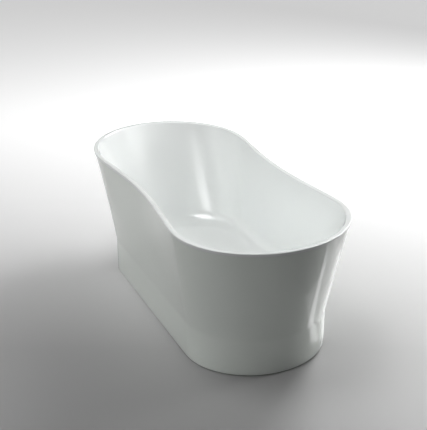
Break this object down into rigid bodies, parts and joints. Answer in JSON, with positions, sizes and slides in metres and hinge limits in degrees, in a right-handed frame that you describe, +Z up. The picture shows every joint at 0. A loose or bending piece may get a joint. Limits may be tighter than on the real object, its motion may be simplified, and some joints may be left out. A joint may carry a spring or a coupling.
{
  "type": "freestanding bathtub",
  "caption": "Freestanding double-skin bathtub with a pinched oval rim, flared skirt on an upright plinth, click waste, overflow, trap and levelling feet.",
  "frame": {"origin": "on the floor, under the centre of the bounding box of the rim", "axes": "+X along the length towards the foot end with the waste, +Y across the width, +Z up"},
  "size_m": [1.698, 0.7775, 0.612],
  "materials": {
    "acrylic": "gloss white acrylic",
    "laminate": "rough glass-fibre laminate",
    "adhesive": "satin adhesive bead",
    "timber": "unfinished plywood and batten",
    "painted_steel": "satin dark grey powder coat",
    "zinc_steel": "zinc plated",
    "chrome": "mirror chrome",
    "brass": "machined",
    "black_rubber": "matte",
    "white_plastic": "satin white pipe plastic",
    "grey_plastic": "moulded satin grey"
  },
  "bodies": {
    "tub": {"inner_basin": "acrylic", "outer_skirt": "acrylic", "basin_laminate": "laminate", "rim_bond": "adhesive", "base_board": "timber", "skirt_batten_left": "timber", "skirt_batten_right": "timber", "frame_rail_left": "painted_steel", "frame_rail_right": "painted_steel", "cross_bearer_head": "painted_steel", "cross_bearer_middle": "painted_steel", "cross_bearer_foot": "painted_steel", "skirt_brackets": "zinc_steel", "frame_screws": "zinc_steel", "bracket_screws": "zinc_steel", "foot_weld_nuts": "zinc_steel", "foot_lock_nuts": "zinc_steel", "waste_flange": "chrome", "waste_top_seal": "black_rubber", "waste_bottom_seal": "black_rubber", "waste_back_nut": "grey_plastic", "waste_body": "grey_plastic", "trap_nut": "white_plastic", "trap_body": "white_plastic", "trap_outlet_nut": "white_plastic", "trap_outlet": "white_plastic", "overflow_cover": "chrome", "overflow_seal": "black_rubber", "overflow_body": "grey_plastic", "overflow_screw": "chrome", "overflow_pipe": "white_plastic", "pipe_nut": "grey_plastic"},
    "waste_plug": {"plug_cap": "chrome", "plug_seal": "black_rubber", "plug_stem": "brass"},
    "pad_head_left": {"foot_pad_head_left": "black_rubber"},
    "stud_head_left": {"foot_stud_head_left": "zinc_steel"},
    "pad_head_right": {"foot_pad_head_right": "black_rubber"},
    "stud_head_right": {"foot_stud_head_right": "zinc_steel"},
    "pad_middle": {"foot_pad_middle": "black_rubber"},
    "stud_middle": {"foot_stud_middle": "zinc_steel"},
    "pad_foot_left": {"foot_pad_foot_left": "black_rubber"},
    "stud_foot_left": {"foot_stud_foot_left": "zinc_steel"},
    "pad_foot_right": {"foot_pad_foot_right": "black_rubber"},
    "stud_foot_right": {"foot_stud_foot_right": "zinc_steel"}
  },
  "joints": [
    {"name": "plug_lift", "type": "slide", "parent": "tub", "child": "waste_plug", "axis": [0, 0, 1], "range_m": [0, 0.009]},
    {"name": "foot_slide_head_left", "type": "slide", "parent": "tub", "child": "pad_head_left", "axis": [0, 0, -1], "range_m": [-0.003, 0.02]},
    {"name": "foot_turn_head_left", "type": "hinge", "parent": "pad_head_left", "child": "stud_head_left", "pos_m": [-0.44, 0.195, 0.06], "axis": [0, 0, -1], "range_deg": [-617.3, 4114.4]},
    {"name": "foot_slide_head_right", "type": "slide", "parent": "tub", "child": "pad_head_right", "axis": [0, 0, -1], "range_m": [-0.003, 0.02]},
    {"name": "foot_turn_head_right", "type": "hinge", "parent": "pad_head_right", "child": "stud_head_right", "pos_m": [-0.44, -0.195, 0.06], "axis": [0, 0, -1], "range_deg": [-617.3, 4114.4]},
    {"name": "foot_slide_middle", "type": "slide", "parent": "tub", "child": "pad_middle", "axis": [0, 0, -1], "range_m": [-0.003, 0.02]},
    {"name": "foot_turn_middle", "type": "hinge", "parent": "pad_middle", "child": "stud_middle", "pos_m": [0.04, 0, 0.06], "axis": [0, 0, -1], "range_deg": [-617.3, 4114.4]},
    {"name": "foot_slide_foot_left", "type": "slide", "parent": "tub", "child": "pad_foot_left", "axis": [0, 0, -1], "range_m": [-0.003, 0.02]},
    {"name": "foot_turn_foot_left", "type": "hinge", "parent": "pad_foot_left", "child": "stud_foot_left", "pos_m": [0.64, 0.19, 0.06], "axis": [0, 0, -1], "range_deg": [-617.3, 4114.4]},
    {"name": "foot_slide_foot_right", "type": "slide", "parent": "tub", "child": "pad_foot_right", "axis": [0, 0, -1], "range_m": [-0.003, 0.02]},
    {"name": "foot_turn_foot_right", "type": "hinge", "parent": "pad_foot_right", "child": "stud_foot_right", "pos_m": [0.64, -0.19, 0.06], "axis": [0, 0, -1], "range_deg": [-617.3, 4114.4]}
  ],
  "couplings": [
    {"joint": "foot_turn_head_left", "follows": "foot_slide_head_left", "rad_per_m": 3590.4},
    {"joint": "foot_turn_head_right", "follows": "foot_slide_head_right", "rad_per_m": 3590.4},
    {"joint": "foot_turn_middle", "follows": "foot_slide_middle", "rad_per_m": 3590.4},
    {"joint": "foot_turn_foot_left", "follows": "foot_slide_foot_left", "rad_per_m": 3590.4},
    {"joint": "foot_turn_foot_right", "follows": "foot_slide_foot_right", "rad_per_m": 3590.4}
  ]
}
